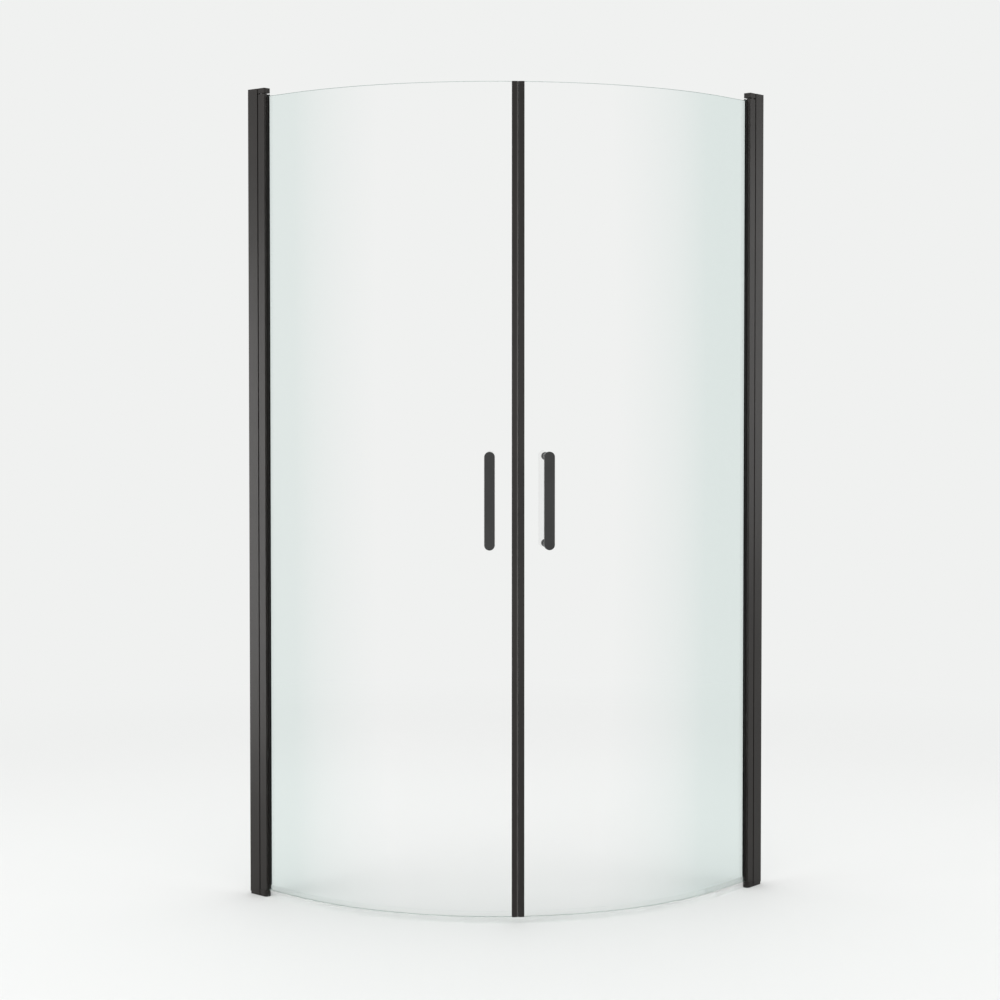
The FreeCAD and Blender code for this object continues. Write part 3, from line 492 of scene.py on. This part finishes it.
def turned_steel(name, colour, ring_colour, roughness):
    """Turned steel: rings across the axis, from noise squeezed along Z, between two greys."""
    material, tree, place = new_material(name)
    squeezed = add(tree, "Mapping", {"Scale": (0.05, 0.05, 1.0)}, {"Vector": place})
    rings = add(tree, "TexNoise", {"Scale": 1 / (0.25 * MM), "Detail": 2.0},
                {"Vector": squeezed.outputs["Vector"]})
    gloss = add(tree, "MapRange", {"To Min": roughness - 0.08, "To Max": roughness + 0.08},
                {"Value": rings.outputs["Fac"]})
    tone = add(tree, "MixRGB", {"Color1": linear(colour), "Color2": linear(ring_colour)},
               {"Fac": rings.outputs["Fac"]})
    shader = add(tree, "BsdfPrincipled", {"Metallic": 1.0},
                 {"Base Color": tone.outputs["Color"], "Roughness": gloss.outputs["Result"]})
    add(tree, "OutputMaterial", None, {"Surface": shader.outputs["BSDF"]})
    return material


bright_steel = turned_steel("turned_stainless_steel", "#c3c2be", "#8f8e8b", roughness=0.28)
finish_nodes(["clamp_screws", "hinge_block_screws", "top_hinge_pin", "bottom_hinge_pin",
              "handle_studs"], bright_steel)


# ------------------------------------------------------------------ bushes and caps
# Injection-moulded acetal, black with the fine spark-eroded texture of its mould, drawn coarser
# than it is so that it shows.

def moulded(name, colour, roughness):
    """Moulded plastic: an even colour under a cell pattern, which is the spark-eroded grain."""
    material, tree, place = new_material(name)
    grain = add(tree, "TexVoronoi", {"Scale": 1 / (0.5 * MM)}, {"Vector": place})
    shade = add(tree, "MapRange", {"To Min": 0.9, "To Max": 1.15},
                {"Value": grain.outputs["Distance"]})
    tone = add(tree, "MixRGB", {"blend_type": "MULTIPLY", "Fac": 1.0, "Color1": linear(colour)},
               {"Color2": shade.outputs["Result"]})
    bump = add(tree, "Bump", {"Strength": 0.3, "Distance": 0.02 * MM},
               {"Height": grain.outputs["Distance"]})
    shader = add(tree, "BsdfPrincipled", {"IOR": 1.48, "Roughness": roughness},
                 {"Base Color": tone.outputs["Color"], "Normal": bump.outputs["Normal"]})
    add(tree, "OutputMaterial", None, {"Surface": shader.outputs["BSDF"]})
    return material


black_acetal = moulded("moulded_black_acetal", "#1e1c1b", roughness=0.45)
finish_nodes(["top_bush", "bottom_bush", "screw_caps"], black_acetal)


# ------------------------------------------------------------------ handles
# Stainless steel, powder coated satin black: a flat bar with round ends and a soft edge, two
# round posts, and a round nut behind the glass on each.  Clear sleeves and washers keep the
# metal off the glass.

handle_coat = coated("powder_coated_handle_steel", "#393939", "#454545", roughness=0.42,
                     grain_mm=0.9, streak_mm=2.0, edge_mm=0.4)
washer_vinyl = clear_vinyl("clear_washer_vinyl", "#eef1f0", roughness=0.15)
finish_nodes(["handle_sleeves", "handle_washers"], washer_vinyl)

bar_back, bar_front = 38 * MM, 46 * MM     # from the outer face of the glass
bar_radius = 12 * MM
front_edge, back_edge = 0.9 * MM, 0.45 * MM
washer, post_radius, mouth_radius = 1 * MM, 9 * MM, 4 * MM


def flat_bar(depths, insets, middle, outward, steps=24):
    """Rings of a flat bar with round ends.  Each ring is a half circle about the upper end's
    centre and one about the lower's, drawn in by its inset at its own depth."""
    angle = np.linspace(0, math.pi, steps)
    angle = np.concatenate([angle, angle + math.pi])
    upright = np.array([0, 0, 1.0])
    end = np.repeat([1.0, -1.0], steps) * half_pitch
    radius = bar_radius - insets[:, None]
    across = radius * np.cos(angle)
    height = radius * np.sin(angle) + end
    points = (middle + depths[:, None, None] * outward
              + across[..., None] * np.cross(upright, outward) + height[..., None] * upright)
    return points.reshape(-1, 3), ring_faces(len(depths), 2 * steps, closed=False)


# Both edges of the bar are quarter rounds, the one in front twice as soft.
swing = np.linspace(0, math.pi / 2, 5)
fall, draw = 1 - np.sin(swing), 1 - np.cos(swing)
depths = np.concatenate([(bar_back + back_edge * fall)[::-1], bar_front - front_edge * fall])
insets = np.concatenate([(back_edge * draw)[::-1], front_edge * draw])
bar = flat_bar(depths, insets, *handle_foot(handle_level))

chamfer = 0.6 * MM
post = [(washer, mouth_radius), (washer, post_radius - chamfer), (washer + chamfer, post_radius),
        (bar_back, post_radius), (bar_back, mouth_radius)]
nut_seat = -2 * half_pane - washer
nut_mouth, nut_face = nut_seat - 1 * MM, nut_seat - 12 * MM
nut = [(nut_seat, mouth_radius), (nut_seat, post_radius), (nut_face + 1.4 * MM, post_radius),
       (nut_face + 0.4 * MM, post_radius - 0.3 * MM), (nut_face, post_radius - 1.2 * MM),
       (nut_face, 0), (nut_mouth, 0), (nut_mouth, mouth_radius)]
feet = [handle_foot(level) for level in hole_levels]
posts = [turned(post, *foot) for foot in feet]
nuts = [turned(nut, *foot) for foot in feet]
for side in sides:
    door_piece(side, "flat_handle_bar", [bar], [handle_coat], "handle_bar")
    door_piece(side, "round_handle_posts", posts, [handle_coat], "handle_posts",
               sharp=40)
    door_piece(side, "round_handle_nuts", nuts, [handle_coat], "handle_knobs",
               sharp=40)


# ------------------------------------------------------------------ floor and studio light
# A matt pale floor that fades into the backdrop's colour.  Two large soft lamps stand in front
# and one hangs above.  Tall narrow lamps draw the long sheen on each side profile and on the
# profiles that meet.

backdrop = linear("#f0f1f0")


def matt_floor(name, colour, fade_start, fade_end):
    """A matt floor that goes over to the backdrop's colour between two distances, in metres."""
    material, tree, place = new_material(name)
    distance = add(tree, "VectorMath", {"operation": "LENGTH"}, {0: place})
    fade = add(tree, "MapRange", {"interpolation_type": "SMOOTHSTEP", "From Min": fade_start,
                                  "From Max": fade_end}, {"Value": distance.outputs["Value"]})
    shader = add(tree, "BsdfPrincipled", {"Base Color": linear(colour), "Roughness": 0.7,
                                          "Specular IOR Level": 0.2})
    far = add(tree, "Emission", {"Color": backdrop})
    choice = add(tree, "MixShader", None, {0: fade.outputs["Result"], 1: shader.outputs["BSDF"],
                                           2: far.outputs["Emission"]})
    add(tree, "OutputMaterial", None, {"Surface": choice.outputs["Shader"]})
    return material


half_floor = 30.0
mesh = bpy.data.meshes.new("floor")
mesh.from_pydata([(-half_floor, -half_floor, 0), (half_floor, -half_floor, 0),
                  (half_floor, half_floor, 0), (-half_floor, half_floor, 0)], [], [(0, 1, 2, 3)])
mesh.materials.append(matt_floor("matt_pale_floor", "#ecedec", 1.3, 3.4))
floor = bpy.data.objects.new("floor", mesh)
bpy.context.scene.collection.objects.link(floor)

# The camera, mirrors and glass see the backdrop.  All else is lit by an even white.
world = bpy.data.worlds.new("studio")
bpy.context.scene.world = world
world.use_nodes = True
tree = world.node_tree
tree.nodes.clear()
ray = add(tree, "LightPath")
seen = add(tree, "Math", {"operation": "MAXIMUM"},
           {0: ray.outputs["Is Camera Ray"], 1: ray.outputs["Is Glossy Ray"]})
seen = add(tree, "Math", {"operation": "MAXIMUM"},
           {0: seen.outputs["Value"], 1: ray.outputs["Is Transmission Ray"]})
shown = add(tree, "Background", {"Color": backdrop, "Strength": 1.0})
light = add(tree, "Background", {"Color": (1, 1, 1, 1), "Strength": 0.75})
mix = add(tree, "MixShader", None, {0: seen.outputs["Value"], 1: light.outputs["Background"],
                                    2: shown.outputs["Background"]})
add(tree, "OutputWorld", None, {"Surface": mix.outputs["Shader"]})

# The lamps leave out the panes and the clear seals, which mirror the backdrop alone, and the two
# lamps beside the profiles leave out the floor too.  The lamp for the meeting profiles lights
# nothing else.
lit = bpy.data.collections.new("lit_by_lamps")
for thing in bpy.context.scene.objects:
    if thing.type == "MESH" and not {pane_glass, seal_vinyl} & set(thing.data.materials):
        lit.objects.link(thing)
lit_beside = lit.copy()
lit_beside.objects.unlink(floor)
meeting = bpy.data.collections.new("meeting_profiles")
for side in sides:
    for name in ("magnet_profile", "magnet_strip"):
        meeting.objects.link(frame["nodes"][f"{side}_{name}"])


def softbox(name, spot, target, size, power, receivers):
    """An upright soft lamp of a width and a height, in metres, that stands at a spot, faces a
    target, lights its receivers alone and isn't seen itself."""
    lamp = bpy.data.lights.new(name, "AREA")
    lamp.shape = "RECTANGLE"
    lamp.size, lamp.size_y = size
    lamp.energy = power
    holder = bpy.data.objects.new(name, lamp)
    bpy.context.scene.collection.objects.link(holder)
    holder.visible_camera = False
    holder.visible_transmission = False
    holder.light_linking.receiver_collection = receivers
    holder.location = spot
    x, y, z = np.subtract(target, spot)
    holder.rotation_euler = (math.atan2(math.hypot(x, y), -z), 0, math.atan2(y, x) - math.pi / 2)


softbox("left_side_softbox", (-1.31, -1.25, 0.88), (-0.42, -0.44, 0.9), (0.4, 1.4), 13.5,
        lit_beside)
softbox("right_side_softbox", (1.1, 1.42, 1.36), (0.44, 0.42, 1.36), (0.4, 1.2), 4, lit_beside)
softbox("meeting_softbox", (2.5, -2.17, 0.94), (0.22, -0.22, 1.04), (0.4, 0.6), 15, meeting)
middle, large = (0, 0, 0.9), (4.0, 4.0)
softbox("front_left_softbox", (-2.2, -5.4, 2.6), middle, large, 110, lit)
softbox("front_right_softbox", (5.4, 2.2, 2.6), middle, large, 80, lit)
softbox("top_softbox", (0.2, -0.2, 4.6), middle, large, 60, lit)
bpy.context.scene.view_settings.view_transform = "Standard"
